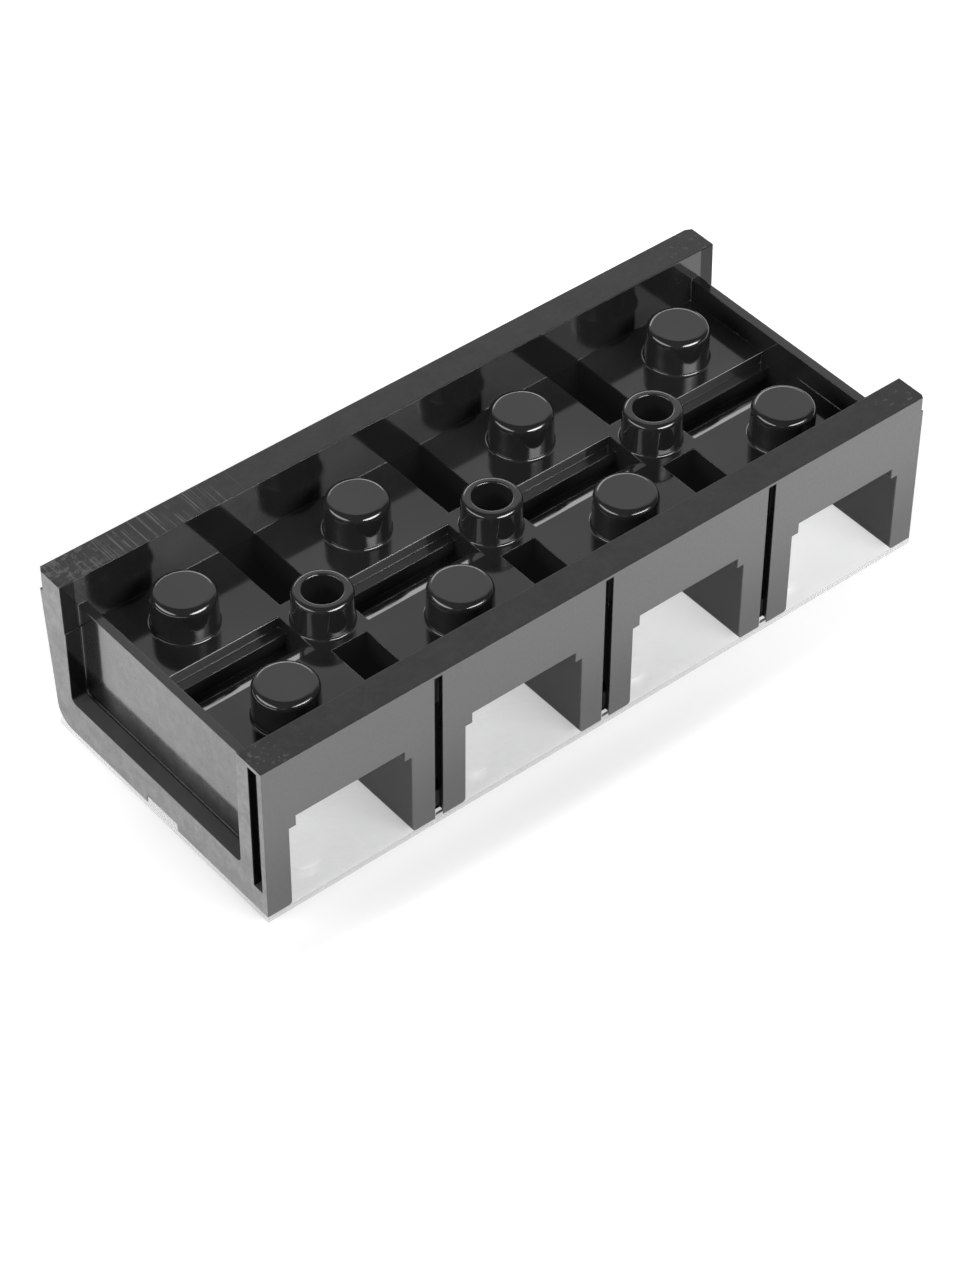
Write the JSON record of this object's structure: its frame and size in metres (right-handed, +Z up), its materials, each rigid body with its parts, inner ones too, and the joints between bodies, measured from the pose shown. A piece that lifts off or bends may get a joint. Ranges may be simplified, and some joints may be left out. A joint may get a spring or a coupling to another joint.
{
  "type": "barrier terminal block",
  "caption": "Barrier terminal block, underside up on its flat clear cover: a black moulded housing with hollow barriers, mounting tubes and round bosses over clamp screws.",
  "frame": {"origin": "middle of the cover's outer face, on the surface that the block rests on", "axes": "+X along the row of poles, +Y from the slotted front wall to the plain back wall, +Z up, out of the underside, which faces up as in the picture"},
  "size_m": [0.1348, 0.0574, 0.0322],
  "materials": {
    "black_plastic": "satin, glossy inside the underside",
    "clear_plastic": "clear, polished",
    "plated_brass": "tin-plated",
    "plated_steel": "zinc-plated",
    "spring_steel": "zinc-plated"
  },
  "bodies": {
    "block": {"housing": "black_plastic", "contact_bar_1": "plated_brass", "contact_bar_2": "plated_brass", "contact_bar_3": "plated_brass", "contact_bar_4": "plated_brass"},
    "cover": {"cover": "clear_plastic"},
    "washers_front_1": {"clamp_plate_front_1": "plated_steel", "spring_ring_front_1": "spring_steel"},
    "screw_front_1": {"screw_front_1": "plated_steel"},
    "washers_front_2": {"clamp_plate_front_2": "plated_steel", "spring_ring_front_2": "spring_steel"},
    "screw_front_2": {"screw_front_2": "plated_steel"},
    "washers_front_3": {"clamp_plate_front_3": "plated_steel", "spring_ring_front_3": "spring_steel"},
    "screw_front_3": {"screw_front_3": "plated_steel"},
    "washers_front_4": {"clamp_plate_front_4": "plated_steel", "spring_ring_front_4": "spring_steel"},
    "screw_front_4": {"screw_front_4": "plated_steel"},
    "washers_back_1": {"clamp_plate_back_1": "plated_steel", "spring_ring_back_1": "spring_steel"},
    "screw_back_1": {"screw_back_1": "plated_steel"},
    "washers_back_2": {"clamp_plate_back_2": "plated_steel", "spring_ring_back_2": "spring_steel"},
    "screw_back_2": {"screw_back_2": "plated_steel"},
    "washers_back_3": {"clamp_plate_back_3": "plated_steel", "spring_ring_back_3": "spring_steel"},
    "screw_back_3": {"screw_back_3": "plated_steel"},
    "washers_back_4": {"clamp_plate_back_4": "plated_steel", "spring_ring_back_4": "spring_steel"},
    "screw_back_4": {"screw_back_4": "plated_steel"}
  },
  "joints": [
    {"name": "cover_off", "type": "slide", "parent": "block", "child": "cover", "axis": [0, 0, -1], "range_m": [0, 0.015]},
    {"name": "washers_travel_front_1", "type": "slide", "parent": "block", "child": "washers_front_1", "axis": [0, 0, -1], "range_m": [-0.0012, 0.0028]},
    {"name": "screw_turn_front_1", "type": "hinge", "parent": "washers_front_1", "child": "screw_front_1", "pos_m": [-0.051, -0.013, 0.01435], "axis": [0, 0, -1], "range_deg": [-433, 1009]},
    {"name": "washers_travel_front_2", "type": "slide", "parent": "block", "child": "washers_front_2", "axis": [0, 0, -1], "range_m": [0, 0.004]},
    {"name": "screw_turn_front_2", "type": "hinge", "parent": "washers_front_2", "child": "screw_front_2", "pos_m": [-0.017, -0.013, 0.01435], "axis": [0, 0, -1], "range_deg": [0, 1441]},
    {"name": "washers_travel_front_3", "type": "slide", "parent": "block", "child": "washers_front_3", "axis": [0, 0, -1], "range_m": [0, 0.004]},
    {"name": "screw_turn_front_3", "type": "hinge", "parent": "washers_front_3", "child": "screw_front_3", "pos_m": [0.017, -0.013, 0.01435], "axis": [0, 0, -1], "range_deg": [0, 1441]},
    {"name": "washers_travel_front_4", "type": "slide", "parent": "block", "child": "washers_front_4", "axis": [0, 0, -1], "range_m": [0, 0.004]},
    {"name": "screw_turn_front_4", "type": "hinge", "parent": "washers_front_4", "child": "screw_front_4", "pos_m": [0.051, -0.013, 0.01435], "axis": [0, 0, -1], "range_deg": [0, 1441]},
    {"name": "washers_travel_back_1", "type": "slide", "parent": "block", "child": "washers_back_1", "axis": [0, 0, -1], "range_m": [0, 0.004]},
    {"name": "screw_turn_back_1", "type": "hinge", "parent": "washers_back_1", "child": "screw_back_1", "pos_m": [-0.051, 0.013, 0.01435], "axis": [0, 0, -1], "range_deg": [0, 1441]},
    {"name": "washers_travel_back_2", "type": "slide", "parent": "block", "child": "washers_back_2", "axis": [0, 0, -1], "range_m": [0, 0.004]},
    {"name": "screw_turn_back_2", "type": "hinge", "parent": "washers_back_2", "child": "screw_back_2", "pos_m": [-0.017, 0.013, 0.01435], "axis": [0, 0, -1], "range_deg": [0, 1441]},
    {"name": "washers_travel_back_3", "type": "slide", "parent": "block", "child": "washers_back_3", "axis": [0, 0, -1], "range_m": [0, 0.004]},
    {"name": "screw_turn_back_3", "type": "hinge", "parent": "washers_back_3", "child": "screw_back_3", "pos_m": [0.017, 0.013, 0.01435], "axis": [0, 0, -1], "range_deg": [0, 1441]},
    {"name": "washers_travel_back_4", "type": "slide", "parent": "block", "child": "washers_back_4", "axis": [0, 0, -1], "range_m": [0, 0.004]},
    {"name": "screw_turn_back_4", "type": "hinge", "parent": "washers_back_4", "child": "screw_back_4", "pos_m": [0.051, 0.013, 0.01435], "axis": [0, 0, -1], "range_deg": [0, 1441]}
  ],
  "couplings": [
    {"joint": "screw_turn_front_1", "follows": "washers_travel_front_1", "rad_per_m": 6283.2},
    {"joint": "screw_turn_front_2", "follows": "washers_travel_front_2", "rad_per_m": 6283.2},
    {"joint": "screw_turn_front_3", "follows": "washers_travel_front_3", "rad_per_m": 6283.2},
    {"joint": "screw_turn_front_4", "follows": "washers_travel_front_4", "rad_per_m": 6283.2},
    {"joint": "screw_turn_back_1", "follows": "washers_travel_back_1", "rad_per_m": 6283.2},
    {"joint": "screw_turn_back_2", "follows": "washers_travel_back_2", "rad_per_m": 6283.2},
    {"joint": "screw_turn_back_3", "follows": "washers_travel_back_3", "rad_per_m": 6283.2},
    {"joint": "screw_turn_back_4", "follows": "washers_travel_back_4", "rad_per_m": 6283.2}
  ]
}
